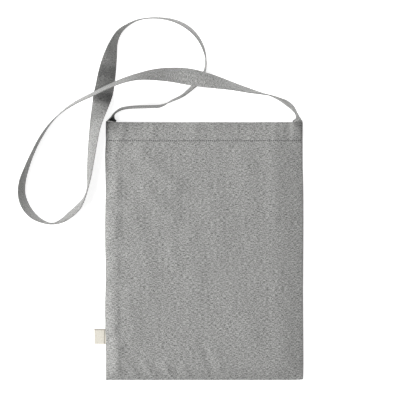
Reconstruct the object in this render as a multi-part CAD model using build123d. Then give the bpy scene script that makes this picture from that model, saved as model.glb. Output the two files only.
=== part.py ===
"""Flat cotton shoulder bag with a long cloth strap, lying on its back panel.

Millimetres. The origin is the middle of the bag's underside: +X runs across the bag,
+Y runs from its bottom fold to its mouth, and +Z is up, through its two panels.
"""
from build123d import *
import math
import os

# ---- the bag -------------------------------------------------------------------------
BAG_WIDTH = 280.0
BAG_HEIGHT = 365.0
CORNER_RADIUS = 3.0          # the two bottom corners
PLY = 0.8                    # one layer of the cloth
POCKET_DEPTH = 6.4           # free height between the back panel and the top of the side seams
LIFT_CLEARANCE = 0.3         # free gap under and beside the front panel, which lifts
HEM_DEPTH = 26.0             # cloth folded inwards at the mouth
SEAM_ALLOWANCE = 10.0        # cloth left inside each side seam
OVERLOCK_WIDTH = 1.2         # thread wrapped along the raw edge of a seam

# ---- the strap -----------------------------------------------------------------------
STRAP_WIDTH = 27.0
STRAP_THICKNESS = 1.6
TAB_INSIDE = 24.0            # length of strap sewn inside the hem
TAB_OUTSIDE = 4.0            # length of folded strap that shows past the mouth
TAB_CLEARANCE = 0.3          # gap from the sewn end to the stretch that lifts
STRAP_CUT = 24.0             # distance past the mouth at which the strap is parted
CUT_CLEARANCE = 0.3
CUT_LEAN = 38.0              # degrees; leaves room for the lifting stretch to turn
GROUND_GAP = 0.3             # from the ground to the strap's lower edge
RISE_LEAN = 20.0             # degrees; the rise where the front stretch crosses it
CROSSING_CLEARANCE = 1.5     # between two stretches of strap where they cross

# ---- the side label ------------------------------------------------------------------
LABEL_OUT = 15.5
LABEL_HEIGHT = 21.2
LABEL_PLY = 0.5
LABEL_FOLD_GAP = 0.2         # between the two layers of the folded label
LABEL_FROM_BOTTOM = 61.0     # from the bag's bottom to the middle of the label
LABEL_UNDERSIDE = 1.4
LABEL_CLEARANCE = 0.3        # gap to the seam that the label turns on

# ---- thread --------------------------------------------------------------------------
STITCH_PITCH = 3.0
STITCH_LENGTH = 2.2
THREAD = 0.4
STITCH_END_GAP = 4.0         # bare length at each end of a row of stitches
LABEL_STITCH_PITCH = 2.4
LABEL_STITCH_INSET = 1.6     # row of stitches, in from the label's sewn edge

# ---- places that follow from the sizes above -----------------------------------------
SIDE = BAG_WIDTH / 2
MOUTH = BAG_HEIGHT / 2
BOTTOM = -BAG_HEIGHT / 2
HEM_EDGE = MOUTH - HEM_DEPTH
SEAM_TOP = PLY + POCKET_DEPTH
FRONT_UNDERSIDE = SEAM_TOP + LIFT_CLEARANCE
FRONT_TOP = FRONT_UNDERSIDE + PLY
TAB_BOTTOM = 2 * PLY
TAB_TOP = FRONT_UNDERSIDE - PLY - LIFT_CLEARANCE
TAB_END = MOUTH + TAB_OUTSIDE
TAB_CENTRE = SIDE - PLY - STRAP_WIDTH / 4
LABEL_CENTRE_Y = BOTTOM + LABEL_FROM_BOTTOM
LABEL_THICKNESS = 2 * LABEL_PLY + LABEL_FOLD_GAP

# The strap's route, from its left end to its right end, chosen by hand: x from the bag's
# left side (from its right side in the last few points), y from the mouth, how far the
# lower edge is raised (0 on the ground, 1 over the upright rise that it crosses), and
# lean from upright in degrees (to the left of the way it runs is positive). The strap
# turns over once, flat on the ground under the crossing, so its lean ends half a turn on.
ROUTE_FROM_LEFT_SIDE = [
    (12.5, 10.5, 0.0, 3), (22.0, 17.3, 0.0, 5), (35.0, 19.8, 0.0, 6),
    (58.0, 20.8, 0.0, 7), (77.0, 21.6, 0.0, 6), (83.5, 23.8, 0.0, 2),
    (94.3, 29.2, 0.0, -4), (108.5, 35.9, 0.0, -7), (121.2, 46.2, 0.0, -11),
    (132.6, 58.0, 0.0, -16), (140.1, 70.1, 0.0, -5), (142.2, 85.0, 0.0, -2),
    (139.6, 100.5, 0.0, -3), (131.8, 116.9, 0.0, -7), (119.1, 130.7, 0.0, -9),
    (101.4, 140.8, 0.0, -8), (81.5, 145.5, 0.0, -4), (61.7, 145.9, 0.0, -3),
    (44.7, 142.7, 0.0, -4), (30.5, 135.4, 0.0, -7), (19.6, 126.1, 0.0, -13),
    (12.1, 111.9, 0.0, -23), (6.7, 90.6, 0.0, -46), (2.4, 67.9, 0.0, -66),
    (-1.4, 45.3, 0.0, -84), (-6.4, 24.0, 0.0, -118), (-13.5, -4.4, 0.0, -143),
    (-17.3, -29.9, 0.0, -152), (-20.3, -55.4, 0.0, -159), (-22.4, -75.2, 0.0, -166),
    (-24.8, -93.7, 0.0, -176), (-28.9, -107.0, 0.0, -175), (-37.6, -120.6, 0.0, -164),
    (-49.6, -132.0, 0.0, -162), (-61.7, -140.5, 0.0, -170), (-74.4, -144.3, 0.0, -178),
    (-88.0, -141.3, 0.0, -173), (-102.1, -132.7, 0.0, -162), (-112.7, -119.2, 0.0, -157),
    (-118.0, -102.9, 0.0, -159), (-117.0, -85.2, 0.0, -162), (-111.3, -66.7, 0.0, -168),
    (-102.1, -44.1, 0.0, -173), (-90.0, -20.7, 0.0, -175), (-75.8, -0.8, 0.0, -179),
    (-60.3, 14.1, 0.03, -183), (-41.8, 26.3, 0.17, -187), (-19.1, 37.3, 0.45, -190),
    (3.5, 48.4, 0.5, -191), (26.2, 57.6, 0.58, -194), (48.9, 63.3, 0.65, -202),
    (71.6, 65.7, 0.76, -217), (94.3, 65.4, 0.89, -229), (117.0, 62.8, 1.0, -240),
    (138.2, 58.9, 1.0, -233), (159.5, 54.3, 0.8, -219), (180.8, 49.2, 0.52, -204),
    (202.0, 43.8, 0.28, -194),
]
ROUTE_FROM_RIGHT_SIDE = [
    (-58.1, 39.2, 0.1, -184), (-45.4, 36.2, 0.02, -180), (-34.0, 31.6, 0.0, -175),
    (-24.1, 26.4, 0.0, -169), (-16.3, 20.0, 0.0, -170), (-10.2, 11.5, 0.0, -176),
]
# First and last point of each stretch; stretches that are parted run one point past it.
RISE_POINTS = (0, 11)
CROWN_POINTS = (11, 26)
LOOP_POINTS = (24, 46)
FRONT_POINTS = (45, 63)


STRAP_ROUTE = (
    [(x - SIDE, y + MOUTH, raised, lean) for x, y, raised, lean in ROUTE_FROM_LEFT_SIDE]
    + [(x + SIDE, y + MOUTH, raised, lean) for x, y, raised, lean in ROUTE_FROM_RIGHT_SIDE]
)


# ---- helpers -------------------------------------------------------------------------
def block(x0, x1, y0, y1, z0, z1):
    """A block between two corners."""
    size = Box(x1 - x0, y1 - y0, z1 - z0)
    return Pos((x0 + x1) / 2, (y0 + y1) / 2, (z0 + z1) / 2) * size


def save(node, shape):
    """Write one node, a solid or a group of solids, to its own file."""
    shape.label = node
    export_step(shape, f"parts/{node}.step")


def stitch_row(count, pitch, middle, along_x, height):
    """A row of separate stitches that lie on a face, centred on a point."""
    size = (STITCH_LENGTH, THREAD) if along_x else (THREAD, STITCH_LENGTH)
    stitches = []
    for index in range(count):
        step = (index - (count - 1) / 2) * pitch
        x = middle[0] + (step if along_x else 0)
        y = middle[1] + (0 if along_x else step)
        stitches.append(Pos(x, y, height + THREAD / 2) * Box(*size, THREAD))
    return Compound(children=stitches)


# ---- the bag's cloth -----------------------------------------------------------------
def panel_outline():
    """The bag's outline: square at the mouth, rounded at the two bottom corners."""
    outline = Rectangle(BAG_WIDTH, BAG_HEIGHT)
    return fillet(outline.vertices().group_by(Axis.Y)[0], CORNER_RADIUS)


def panel(underside):
    """One panel of the bag."""
    return Pos(0, 0, underside) * extrude(panel_outline(), PLY)


def rim():
    """The cloth that stands between the panels, all round the closed sides."""
    outline = panel_outline()
    inside = Rectangle(BAG_WIDTH - 2 * PLY, BAG_HEIGHT - PLY)
    inside = fillet(inside.vertices().group_by(Axis.Y)[0], CORNER_RADIUS - PLY)
    ring = outline - Pos(0, PLY / 2) * inside
    return Pos(0, 0, PLY) * extrude(ring, POCKET_DEPTH)


def bottom_fold():
    """The fold along the bottom, with both rounded corners."""
    return rim() & block(-SIDE, SIDE, BOTTOM, BOTTOM + CORNER_RADIUS, 0, FRONT_TOP)


def side_seam(side):
    """A side seam: the edge of the cloth and the allowance that lies inside it."""
    edge, inner = side * SIDE, side * (SIDE - PLY)
    free = side * (SIDE - PLY - SEAM_ALLOWANCE)
    wall = block(*sorted((edge, inner)), BOTTOM + CORNER_RADIUS, MOUTH, PLY, SEAM_TOP)
    allowance = block(*sorted((inner, free)), BOTTOM + CORNER_RADIUS, HEM_EDGE, PLY, 3 * PLY)
    return wall + allowance


def seam_overlock(side):
    """The thread wrapped along the raw edge of a seam's allowance."""
    near = side * (SIDE - PLY - SEAM_ALLOWANCE)
    far = near - side * OVERLOCK_WIDTH
    return block(*sorted((near, far)), BOTTOM + CORNER_RADIUS, HEM_EDGE, PLY, 3 * PLY)


def back_hem():
    """The cloth folded inwards at the mouth of the back panel."""
    reach = SIDE - PLY
    return block(-reach, reach, HEM_EDGE, MOUTH, PLY, 2 * PLY)


def front_hem():
    """The cloth folded inwards at the mouth of the front panel."""
    reach = SIDE - PLY - LIFT_CLEARANCE
    return block(-reach, reach, HEM_EDGE, MOUTH, FRONT_UNDERSIDE - PLY, FRONT_UNDERSIDE)


def hem_stitching(height):
    """The row of stitches that holds a hem."""
    count = int((BAG_WIDTH - 2 * STITCH_END_GAP) // STITCH_PITCH)
    return stitch_row(count, STITCH_PITCH, (0, HEM_EDGE + THREAD), True, height)


# ---- the strap -----------------------------------------------------------------------
def strap_tab(side):
    """A sewn-in strap end: the cloth is folded along its middle, round the side seam."""
    outer = side * (SIDE - PLY)
    inner = outer - side * STRAP_WIDTH / 2
    hollow = outer - side * STRAP_THICKNESS
    span = (MOUTH - TAB_INSIDE, TAB_END)
    body = block(*sorted((outer, inner)), *span, TAB_BOTTOM, TAB_TOP)
    slot = block(*sorted((hollow, inner)), *span,
                 TAB_BOTTOM + STRAP_THICKNESS, TAB_TOP - STRAP_THICKNESS)
    return body - slot


def leaned_height(width, thickness, lean):
    """The height of a strap section that leans from upright, in radians."""
    return width * abs(math.cos(lean)) + thickness * abs(math.sin(lean))


def lower_edge(raised):
    """The height of the strap's lower edge, from the ground to the top of the crossing."""
    rise = leaned_height(STRAP_WIDTH, STRAP_THICKNESS, math.radians(RISE_LEAN))
    return GROUND_GAP + raised * (rise + CROSSING_CLEARANCE)


def strap_section(point, ahead, width, thickness):
    """The strap's cross-section at a point, upright and then leaned over."""
    x, y, low, lean = point[0], point[1], point[2], math.radians(point[3])
    along = Vector(ahead[0], ahead[1], 0).normalized()
    left = Vector(-along.Y, along.X, 0)
    up = Vector(0, 0, 1) * math.cos(lean) + left * math.sin(lean)
    middle = low + leaned_height(width, thickness, lean) / 2
    plane = Plane(origin=(x, y, middle), x_dir=up, z_dir=along)
    return plane * Rectangle(width, thickness)


def strap_headings():
    """The direction in which the strap runs at each point of its route."""
    ends = [STRAP_ROUTE[0]] + STRAP_ROUTE + [STRAP_ROUTE[-1]]
    return [(after[0] - before[0], after[1] - before[1])
            for before, after in zip(ends, ends[2:])]


def strap_stretch(points, folded_start=None, folded_end=None):
    """A stretch of strap between two points, with a folded section at a sewn end."""
    first, last = points
    sections = [
        strap_section((x, y, lower_edge(raised), lean), ahead, STRAP_WIDTH, STRAP_THICKNESS)
        for (x, y, raised, lean), ahead in zip(STRAP_ROUTE, strap_headings())
    ][first:last + 1]
    if folded_start:
        sections.insert(0, folded_start)
    if folded_end:
        sections.append(folded_end)
    return loft(sections, ruled=True)


def folded_section(side, heading, lean):
    """The strap just past its sewn end, still folded to half its width."""
    point = (side * TAB_CENTRE, TAB_END + TAB_CLEARANCE, TAB_BOTTOM, lean)
    return strap_section(point, (0, heading), STRAP_WIDTH / 2, 2 * STRAP_THICKNESS)


def lifting_part(shape):
    """The side of the strap's parting that lifts."""
    return split(shape, bisect_by=Plane.XZ.offset(-MOUTH - STRAP_CUT), keep=Keep.BOTTOM)


def resting_part(shape):
    """The side of the parting that stays down, cut back so that the other can turn."""
    cut = Plane.XZ.offset(CUT_CLEARANCE - MOUTH - STRAP_CUT).rotated((CUT_LEAN, 0, 0))
    return split(shape, bisect_by=cut, keep=Keep.TOP)


def strap_rise():
    """From the left end, along the mouth and up to the crown."""
    return strap_stretch(RISE_POINTS, folded_start=folded_section(-1, 1, 0))


def strap_crown():
    """Round the top and down the left side, to the parting."""
    return lifting_part(strap_stretch(CROWN_POINTS))


def strap_loop():
    """The loop that lies beside the bag."""
    return resting_part(strap_stretch(LOOP_POINTS))


def strap_front():
    """Over the other two stretches and back to the right end."""
    return lifting_part(strap_stretch(FRONT_POINTS, folded_end=folded_section(1, -1, -180)))


# ---- the side label ------------------------------------------------------------------
def side_label():
    """A woven label folded in half, its fold away from the bag."""
    sewn = -SIDE - LABEL_CLEARANCE
    fold = -SIDE - LABEL_OUT
    low, high = LABEL_CENTRE_Y - LABEL_HEIGHT / 2, LABEL_CENTRE_Y + LABEL_HEIGHT / 2
    top = LABEL_UNDERSIDE + LABEL_THICKNESS
    body = block(fold, sewn, low, high, LABEL_UNDERSIDE, top)
    between = block(fold + LABEL_PLY, sewn, low, high,
                    LABEL_UNDERSIDE + LABEL_PLY, top - LABEL_PLY)
    return body - between


def label_stitching():
    """The stitches that hold the label, beside the seam."""
    count = int(LABEL_HEIGHT // LABEL_STITCH_PITCH)
    middle = (-SIDE - LABEL_CLEARANCE - LABEL_STITCH_INSET, LABEL_CENTRE_Y)
    top = LABEL_UNDERSIDE + LABEL_THICKNESS
    return stitch_row(count, LABEL_STITCH_PITCH, middle, False, top)


os.makedirs("parts", exist_ok=True)

save("back_panel", panel(0))
save("front_panel", panel(FRONT_UNDERSIDE))
save("bottom_fold", bottom_fold())
save("back_hem", back_hem())
save("front_hem", front_hem())
save("back_hem_stitching", hem_stitching(2 * PLY))
save("front_hem_stitching", hem_stitching(FRONT_TOP))
for name, side in (("left", -1), ("right", 1)):
    save(f"{name}_seam", side_seam(side))
    save(f"{name}_overlock", seam_overlock(side))
    save(f"strap_tab_{name}", strap_tab(side))
save("strap_rise", strap_rise())
save("strap_crown", strap_crown())
save("strap_loop", strap_loop())
save("strap_front", strap_front())
save("side_label", side_label())
save("label_stitching", label_stitching())
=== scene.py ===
"""Looks of a flat cotton shoulder bag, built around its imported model.

Metres, in the model's own frame: +X runs across the bag, +Y to its mouth, +Z is up.
"""

import logging
import math
from dataclasses import dataclass, field
from enum import Enum

import bpy
import numpy as np
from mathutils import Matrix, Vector


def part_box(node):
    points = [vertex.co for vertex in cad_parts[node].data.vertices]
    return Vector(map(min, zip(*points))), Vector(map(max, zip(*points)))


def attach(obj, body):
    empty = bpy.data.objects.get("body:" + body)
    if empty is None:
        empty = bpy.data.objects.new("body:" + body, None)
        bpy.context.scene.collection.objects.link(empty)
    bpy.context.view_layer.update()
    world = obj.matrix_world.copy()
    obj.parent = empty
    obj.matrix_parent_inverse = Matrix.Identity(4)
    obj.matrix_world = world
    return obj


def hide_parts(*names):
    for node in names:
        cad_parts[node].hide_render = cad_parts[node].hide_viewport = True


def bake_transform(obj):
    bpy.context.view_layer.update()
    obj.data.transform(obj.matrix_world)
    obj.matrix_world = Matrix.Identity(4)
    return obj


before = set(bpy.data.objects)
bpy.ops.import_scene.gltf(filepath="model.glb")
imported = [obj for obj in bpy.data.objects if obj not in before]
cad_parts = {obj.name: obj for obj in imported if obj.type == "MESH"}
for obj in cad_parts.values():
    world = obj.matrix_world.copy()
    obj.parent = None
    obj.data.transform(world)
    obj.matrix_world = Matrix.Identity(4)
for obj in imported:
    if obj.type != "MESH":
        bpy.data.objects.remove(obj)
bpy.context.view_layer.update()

LOG = logging.getLogger("bag")
MM = 0.001
FLAT_CLOTH = "FlatCloth"
STITCH_PITCH = 3.0 * MM
HOLE_RADIUS = 1.0 * MM
# Nearly black, for painted shade: in the hem's needle holes and in the strap's dark bands.
NEARLY_BLACK = (0.012, 0.012, 0.012)
# Steps of the mesh in from a turned edge, closer together where the cloth turns.
EDGE_STEPS = np.array([0.0, 0.12, 0.35, 0.7, 1.1, 1.6, 2.3, 3.2, 4.4, 6.0]) * MM


class Finish(Enum):
    """The finishes that a piece takes, named as the material slots of the record."""

    CLOTH = "cloth"
    STRAP = "strap_cloth"
    THREAD = "thread"
    LABEL = "label_tape"


# ---------------------------------------------------------------------------- helpers
def clear_selection() -> None:
    """Leave object mode clean, with nothing selected."""
    if bpy.context.object and bpy.context.object.mode != "OBJECT":
        bpy.ops.object.mode_set(mode="OBJECT")
    bpy.ops.object.select_all(action="DESELECT")


def make_active(piece: bpy.types.Object) -> None:
    """Select one piece alone and make it active.

    Args:
        piece: The piece that the next operators act on.
    """
    clear_selection()
    piece.select_set(True)
    bpy.context.view_layer.objects.active = piece


def smooth_step(value: np.ndarray) -> np.ndarray:
    """A ramp from 0 to 1 with level ends.

    Args:
        value: Places along the ramp, clipped to 0..1.

    Returns:
        The ramp's height at each place.
    """
    held = np.clip(value, 0.0, 1.0)
    return held * held * (3.0 - 2.0 * held)


def graded(start: float, end: float, step: float) -> np.ndarray:
    """Evenly spaced values from start to end, about step apart.

    Args:
        start: First value.
        end: Last value.
        step: The spacing aimed at.

    Returns:
        The values, both ends included.
    """
    count = max(1, int(round(abs(end - start) / step)))
    return np.linspace(start, end, count + 1)


def joined(*runs: np.ndarray) -> np.ndarray:
    """Several runs of values end to end, each shared end kept once.

    Args:
        *runs: The runs, each starting where the last one ends.

    Returns:
        One array of values.
    """
    kept = [runs[0]] + [run[1:] for run in runs[1:]]
    return np.concatenate(kept)


def sheet_mesh(name: str, points: np.ndarray, flat: np.ndarray) -> bpy.types.Object:
    """A sheet of quads from rows and columns of points.

    Args:
        name: Name of the piece.
        points: Places as an array of rows, columns and 3.
        flat: Places on the flat cloth, in metres, as rows, columns and 2.

    Returns:
        The piece, with a UV map that holds the places on the flat cloth.
    """
    rows, columns = points.shape[:2]
    index = np.arange(rows * columns).reshape(rows, columns)
    corners = np.stack([index[:-1, :-1], index[:-1, 1:], index[1:, 1:], index[1:, :-1]], -1)
    faces = corners.reshape(-1, 4)
    mesh = bpy.data.meshes.new(name)
    mesh.from_pydata(points.reshape(-1, 3).tolist(), [], faces.tolist())
    layer = mesh.uv_layers.new(name=FLAT_CLOTH)
    layer.data.foreach_set("uv", flat.reshape(-1, 2)[faces.ravel()].ravel())
    piece = bpy.data.objects.new(name, mesh)
    bpy.context.scene.collection.objects.link(piece)
    return piece


def thicken(piece: bpy.types.Object, thickness: float, offset: float) -> None:
    """Give a sheet its thickness and smooth shading.

    Args:
        piece: The sheet.
        thickness: Thickness of the cloth in metres.
        offset: Side on which the cloth grows, from -1 to 1.
    """
    make_active(piece)
    shell = piece.modifiers.new("Thickness", "SOLIDIFY")
    shell.thickness = thickness
    shell.offset = offset
    shell.use_even_offset = True
    bpy.ops.object.modifier_apply(modifier=shell.name)
    bpy.ops.object.shade_smooth_by_angle(angle=math.radians(50))


# -------------------------------------------------------------------------- materials
class NodeSheet:
    """A material's node tree, with short calls that add and join its nodes."""

    def __init__(self, name: str) -> None:
        """Start a material that holds only its output and its shader.

        Args:
            name: Name of the material.
        """
        self.material = bpy.data.materials.new(name)
        self.material.use_nodes = True
        self.tree = self.material.node_tree
        self.shader = self.tree.nodes["Principled BSDF"]

    def add(self, kind: str, **values: object) -> bpy.types.Node:
        """Add a node and set its properties.

        Args:
            kind: Type of the node.
            **values: Properties of the node, by name.

        Returns:
            The new node.
        """
        node = self.tree.nodes.new(kind)
        for key, value in values.items():
            setattr(node, key, value)
        return node

    def link(self, source: bpy.types.NodeSocket, target: bpy.types.NodeSocket) -> None:
        """Join an output to an input."""
        self.tree.links.new(source, target)

    def feed(self, socket: bpy.types.NodeSocket, value: object) -> None:
        """Give an input a number or another node's output."""
        if isinstance(value, bpy.types.NodeSocket):
            self.link(value, socket)
        else:
            socket.default_value = value

    def math(self, operation: str, first: object, second: object = 0.0,
             clamp: bool = False) -> bpy.types.NodeSocket:
        """Work out a number from one or two others.

        Args:
            operation: The Math node's operation.
            first: First number or output.
            second: Second number or output.
            clamp: Whether the result is held to 0..1.

        Returns:
            The result's output.
        """
        node = self.add("ShaderNodeMath", operation=operation, use_clamp=clamp)
        self.feed(node.inputs[0], first)
        self.feed(node.inputs[1], second)
        return node.outputs[0]

    def added(self, value: object, strength: float, base: object) -> bpy.types.NodeSocket:
        """A base with a value added at some strength.

        Args:
            value: The value or output.
            strength: The factor on it.
            base: What it is added to.

        Returns:
            The sum's output.
        """
        node = self.add("ShaderNodeMath", operation="MULTIPLY_ADD")
        self.feed(node.inputs[0], value)
        self.feed(node.inputs[1], strength)
        self.feed(node.inputs[2], base)
        return node.outputs[0]

    def stretched(self, source: bpy.types.NodeSocket,
                  scale: tuple[float, float, float]) -> bpy.types.NodeSocket:
        """Coordinates scaled along each axis.

        Args:
            source: The coordinates.
            scale: The factor along X, Y and Z.

        Returns:
            The scaled coordinates.
        """
        node = self.add("ShaderNodeMapping")
        node.inputs["Scale"].default_value = scale
        self.link(source, node.inputs["Vector"])
        return node.outputs["Vector"]

    def noise(self, source: bpy.types.NodeSocket, scale: tuple[float, float, float],
              detail: float = 1.0) -> bpy.types.NodeSocket:
        """Cloudy values from 0 to 1.

        Args:
            source: The coordinates.
            scale: How many clouds fit in a metre along each axis.
            detail: How fine the smallest clouds are.

        Returns:
            The noise's output.
        """
        node = self.add("ShaderNodeTexNoise")
        node.inputs["Scale"].default_value = 1.0
        node.inputs["Detail"].default_value = detail
        self.link(self.stretched(source, scale), node.inputs["Vector"])
        return node.outputs["Fac"]

    def ramp(self, value: bpy.types.NodeSocket,
             stops: list[tuple[float, tuple[float, float, float]]]) -> bpy.types.NodeSocket:
        """Colours along a value.

        Args:
            value: The value, from 0 to 1.
            stops: Place and colour of each stop.

        Returns:
            The colour's output.
        """
        node = self.add("ShaderNodeValToRGB")
        stop_list = node.color_ramp.elements
        while len(stop_list) < len(stops):
            stop_list.new(0.5)
        for stop, (place, colour) in zip(stop_list, stops):
            stop.position = place
            stop.color = (*colour, 1.0)
        self.link(value, node.inputs["Fac"])
        return node.outputs["Color"]

    def flat_cloth(self) -> tuple[bpy.types.NodeSocket, bpy.types.NodeSocket, bpy.types.NodeSocket]:
        """Places on the flat cloth: the pair, the place across and the place along."""
        flat = self.add("ShaderNodeUVMap", uv_map=FLAT_CLOTH).outputs["UV"]
        split = self.add("ShaderNodeSeparateXYZ")
        self.link(flat, split.inputs[0])
        return flat, split.outputs["X"], split.outputs["Y"]

    def near(self, place: bpy.types.NodeSocket, line: float, reach: float,
             plateau: float = 1.0) -> bpy.types.NodeSocket:
        """How close a place is to a line.

        Args:
            place: Places along one direction of the cloth.
            line: Where the line lies.
            reach: Distance over which 1 falls to 0.
            plateau: Value on the line before it is held to 1, which widens its middle.

        Returns:
            1 on the line, falling to 0.
        """
        apart = self.math("ABSOLUTE", self.math("SUBTRACT", place, line))
        return self.math("SUBTRACT", plateau, self.math("DIVIDE", apart, reach), clamp=True)

    def tinted(self, colour: bpy.types.NodeSocket, amount: bpy.types.NodeSocket,
               tint: tuple[float, float, float]) -> bpy.types.NodeSocket:
        """A colour that goes over to another one.

        Args:
            colour: The first colour.
            amount: How much of the tint shows, from 0 to 1.
            tint: The other colour.

        Returns:
            The mixed colour's output.
        """
        mix = self.add("ShaderNodeMix", data_type="RGBA")
        self.link(amount, mix.inputs["Factor"])
        self.link(colour, mix.inputs[6])
        mix.inputs[7].default_value = (*tint, 1.0)
        return mix.outputs[2]

    def bump(self, height: bpy.types.NodeSocket, strength: float, distance: float) -> None:
        """Raise the surface by a height.

        Args:
            height: The height's output.
            strength: How much of it shows, from 0 to 1.
            distance: Height in metres of a value of 1.
        """
        bump = self.add("ShaderNodeBump")
        bump.inputs["Strength"].default_value = strength
        bump.inputs["Distance"].default_value = distance
        self.link(height, bump.inputs["Height"])
        self.link(bump.outputs["Normal"], self.shader.inputs["Normal"])

    def matt(self, roughness: float, sheen: float) -> None:
        """Set an even roughness and sheen on the shader."""
        self.shader.inputs["Roughness"].default_value = roughness
        self.shader.inputs["Sheen Weight"].default_value = sheen


@dataclass(frozen=True)
class PaintedShadeBand:
    """A band of painted shade across the cloth, for the shade in a fold, on a turn and under a
    strap that crosses over it.

    The paint belongs to the cloth, so it stays dark in any light and any pose.

    Attributes:
        place: Distance along the flat cloth to its middle.
        reach: Distance from its middle to where it has faded out.
        depth: How dark it is, from 0 to 1.
        across: Distance across the flat cloth that it stays under.
    """

    place: float
    reach: float
    depth: float
    across: float = 1.0


# Place across the strap's flat cloth where its second face is laid out, so that a band can
# stay on the first face, which is the inner one of the left end's sewn fold.
SECOND_FACE = 40.0 * MM
# Painted shade on the strap: inside the left end's sewn fold, on the upright run where the crossing
# strap shades it, and on the crossing strap's turn.
STRAP_PAINTED_SHADE = (
    PaintedShadeBand(29.0 * MM, 17.0 * MM, 0.85, across=0.5 * SECOND_FACE),
    PaintedShadeBand(442.0 * MM, 34.0 * MM, 0.45),
    PaintedShadeBand(424.0 * MM, 12.0 * MM, 0.3),
    PaintedShadeBand(462.0 * MM, 13.0 * MM, 0.5),
    PaintedShadeBand(1008.0 * MM, 40.0 * MM, 0.28),
)


@dataclass(frozen=True)
class MelangeCloth:
    """Plain weave of dark and undyed cotton yarns.

    Attributes:
        name: Name of the material.
        dark: Colour of the dyed yarns.
        light: Colour of the undyed yarns.
        yarns: Yarns to the metre, each way.
        contrast: How strongly the yarns differ.
        cloud: How strongly the cloth's tone drifts over several centimetres.
        needle_row: Distance along the flat cloth to a row of needle holes, which are painted with
            shade, if it has one.
        dark_bands: Bands of painted shade across the cloth.
    """

    name: str
    dark: tuple[float, float, float] = (0.05, 0.05, 0.049)
    light: tuple[float, float, float] = (0.56, 0.56, 0.547)
    yarns: float = 1500.0
    contrast: float = 1.0
    cloud: float = 0.12
    needle_row: float | None = None
    dark_bands: tuple[PaintedShadeBand, ...] = ()

    def build(self) -> bpy.types.Material:
        """Make the material."""
        sheet = NodeSheet(self.name)
        flat, across, along = sheet.flat_cloth()
        warp = sheet.noise(flat, (self.yarns, 420.0, 1.0))
        weft = sheet.noise(flat, (230.0, self.yarns, 1.0))
        fleck = sheet.noise(flat, (2100.0, 1700.0, 1.0))
        drift = sheet.noise(flat, (60.0, 38.0, 1.0), 4.0)
        streak = sheet.noise(flat, (260.0, 12.0, 1.0), 2.0)
        parts = ((warp, 1.7 * self.contrast), (weft, 1.7 * self.contrast),
                 (fleck, 2.6 * self.contrast), (drift, self.cloud), (streak, 0.13))
        tone: object = 0.5
        for part, strength in parts:
            tone = sheet.added(sheet.math("SUBTRACT", part, 0.5), strength, tone)
        colour = sheet.ramp(tone, [(0.0, self.dark), (1.0, self.light)])
        # Painted shade: the needle holes are tinted nearly black.
        if self.needle_row is not None:
            colour = sheet.tinted(colour, self.holes(sheet, across, along), NEARLY_BLACK)
        # Painted shade: each band darkens the colour towards nearly black.
        for band in self.dark_bands:
            near = sheet.near(along, band.place, band.reach / 1.5, plateau=1.5)
            under = sheet.math("LESS_THAN", across, band.across)
            amount = sheet.math("MULTIPLY", sheet.math("MULTIPLY", near, under), band.depth)
            colour = sheet.tinted(colour, amount, NEARLY_BLACK)
        sheet.link(colour, sheet.shader.inputs["Base Color"])
        sheet.bump(self.weave(sheet, across, along, fleck), 0.35, 0.12 * MM)
        sheet.link(sheet.added(fleck, 0.12, 0.82), sheet.shader.inputs["Roughness"])
        sheet.shader.inputs["Specular IOR Level"].default_value = 0.2
        sheet.shader.inputs["Sheen Weight"].default_value = 0.12
        sheet.shader.inputs["Sheen Roughness"].default_value = 0.55
        return sheet.material

    def holes(self, sheet: NodeSheet, across: bpy.types.NodeSocket,
              along: bpy.types.NodeSocket) -> bpy.types.NodeSocket:
        """Painted shade in the holes where the needle went through the cloth.

        Args:
            sheet: The material's nodes.
            across: Places across the flat cloth.
            along: Places along the flat cloth.

        Returns:
            1 in the middle of each hole, falling to 0 round it.
        """
        aside = sheet.math("PINGPONG", across, 0.5 * STITCH_PITCH)
        apart = sheet.math("SUBTRACT", along, self.needle_row)
        far = sheet.math("ADD", sheet.math("MULTIPLY", aside, aside),
                         sheet.math("MULTIPLY", apart, apart))
        share = sheet.math("DIVIDE", far, HOLE_RADIUS**2)
        return sheet.math("SUBTRACT", 1.0, share, clamp=True)

    def weave(self, sheet: NodeSheet, across: bpy.types.NodeSocket, along: bpy.types.NodeSocket,
              fleck: bpy.types.NodeSocket) -> bpy.types.NodeSocket:
        """Raised yarns that pass over and under each other.

        Args:
            sheet: The material's nodes.
            across: Places across the flat cloth.
            along: Places along the flat cloth.
            fleck: The yarns' uneven thickness.

        Returns:
            The height's output.
        """
        turns = self.yarns * math.pi
        over = sheet.math("SINE", sheet.math("MULTIPLY", across, turns))
        under = sheet.math("SINE", sheet.math("MULTIPLY", along, turns))
        return sheet.added(fleck, 1.6, sheet.math("MULTIPLY", over, under))


@dataclass(frozen=True)
class SewingThread:
    """Twisted grey sewing thread.

    Attributes:
        name: Name of the material.
        dark: Colour between the thread's strands.
        light: Colour on the strands.
    """

    name: str = "sewing thread"
    dark: tuple[float, float, float] = (0.16, 0.16, 0.158)
    light: tuple[float, float, float] = (0.33, 0.33, 0.325)

    def build(self) -> bpy.types.Material:
        """Make the material."""
        sheet = NodeSheet(self.name)
        place = sheet.add("ShaderNodeTexCoord").outputs["Object"]
        strands = sheet.noise(place, (2600.0, 5200.0, 2600.0))
        colour = sheet.ramp(strands, [(0.3, self.dark), (0.7, self.light)])
        sheet.link(colour, sheet.shader.inputs["Base Color"])
        sheet.matt(roughness=0.6, sheen=0.2)
        sheet.bump(strands, 0.5, 0.05 * MM)
        return sheet.material


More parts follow.
